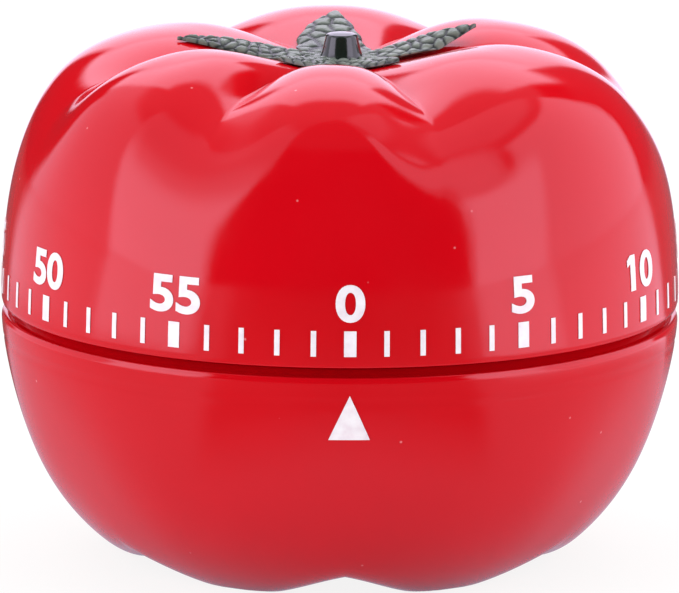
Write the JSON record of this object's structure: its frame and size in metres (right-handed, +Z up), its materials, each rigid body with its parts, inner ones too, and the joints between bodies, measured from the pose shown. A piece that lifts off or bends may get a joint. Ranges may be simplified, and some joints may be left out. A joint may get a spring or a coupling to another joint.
{
  "type": "kitchen timer",
  "caption": "Mechanical kitchen timer shaped like a tomato: the numbered upper half turns on the lower half and drives a clockwork with a bell.",
  "frame": {"origin": "on the surface it stands on, below the turning axis", "axes": "+Z up along the turning axis, front with the pointer at -Y, +X to the right of somebody facing the pointer"},
  "size_m": [0.065, 0.065, 0.0514],
  "materials": {
    "red_shell": "glossy red",
    "red_shell_lower": "glossy red",
    "leaf": "dull leathery grey green",
    "stem": "glossy dark green",
    "plate_brass": "rolled",
    "brass": "cut",
    "steel": "turned",
    "bell": "polished",
    "spring_steel": "blued",
    "nylon": "plain",
    "white_ink": "printed"
  },
  "bodies": {
    "base": {"lower_shell": "red_shell_lower", "back_plate": "plate_brass", "front_plate": "plate_brass", "pillars": "brass", "pillar_nuts": "steel", "movement_screws": "steel", "stop_pin": "steel", "thrust_washer": "nylon", "mainspring": "spring_steel", "spring_post": "steel", "bell": "bell", "bell_post": "steel", "bell_screw": "steel", "lever_pin": "steel"},
    "dial": {"upper_shell": "red_shell", "calyx": "leaf", "stalk": "stem", "main_arbor": "steel", "ratchet_wheel": "steel", "release_cam": "steel", "stop_finger": "steel"},
    "main": {"main_wheel": "brass", "click": "steel", "click_rivet": "steel", "click_spring": "steel"},
    "second": {"second_arbor": "steel", "second_wheel": "brass"},
    "third": {"third_arbor": "steel", "third_wheel": "brass"},
    "escape": {"escape_arbor": "steel", "escape_wheel": "brass"},
    "strike": {"strike_arbor": "steel", "strike_wheel": "brass"},
    "pallet": {"pallet": "steel", "pallet_arbor": "steel", "balance_bar": "brass"},
    "hammer": {"hammer_arbor": "steel", "hammer_verge": "steel", "hammer_tail": "steel", "hammer_arm": "steel", "hammer_head": "steel"},
    "lever": {"release_lever": "steel"}
  },
  "joints": [
    {"name": "dial_turn", "type": "hinge", "parent": "base", "child": "dial", "pos_m": [0, 0, 0.02], "axis": [0, 0, -1], "range_deg": [0, 348], "deforming": ["mainspring"]},
    {"name": "main_wheel_turn", "type": "hinge", "parent": "base", "child": "main", "pos_m": [0, 0, 0.02], "axis": [0, 0, -1], "range_deg": [0, 348]},
    {"name": "second_wheel_turn", "type": "hinge", "parent": "base", "child": "second", "pos_m": [0.007, -0.01212, 0.02], "axis": [0, 0, -1], "range_deg": [-3132, 0]},
    {"name": "third_wheel_turn", "type": "hinge", "parent": "base", "child": "third", "pos_m": [0.01588, -0.00848, 0.02], "axis": [0, 0, -1], "range_deg": [0, 21924]},
    {"name": "escape_wheel_turn", "type": "hinge", "parent": "base", "child": "escape", "pos_m": [0.01693, -0.00155, 0.02], "axis": [0, 0, -1], "range_deg": [-131544, 0]},
    {"name": "strike_wheel_turn", "type": "hinge", "parent": "base", "child": "strike", "pos_m": [-0.01212, 0.007, 0.02], "axis": [0, 0, -1], "range_deg": [-3132, 0]},
    {"name": "pallet_rock", "type": "hinge", "parent": "base", "child": "pallet", "pos_m": [0.01686, 0.00505, 0.02], "axis": [0, 0, -1], "range_deg": [-4, 4]},
    {"name": "hammer_swing", "type": "hinge", "parent": "base", "child": "hammer", "pos_m": [-0.01916, 0.00413, 0.02], "axis": [0, 0, -1], "range_deg": [-6, 6]},
    {"name": "release_lever_swing", "type": "hinge", "parent": "base", "child": "lever", "pos_m": [-0.00757, -0.0078, 0.02], "axis": [0, 0, -1], "range_deg": [0, 7]}
  ],
  "couplings": [
    {"joint": "main_wheel_turn", "follows": "dial_turn", "ratio": 1},
    {"joint": "second_wheel_turn", "follows": "dial_turn", "ratio": -9},
    {"joint": "third_wheel_turn", "follows": "dial_turn", "ratio": 63},
    {"joint": "escape_wheel_turn", "follows": "dial_turn", "ratio": -378},
    {"joint": "strike_wheel_turn", "follows": "dial_turn", "ratio": -9}
  ]
}
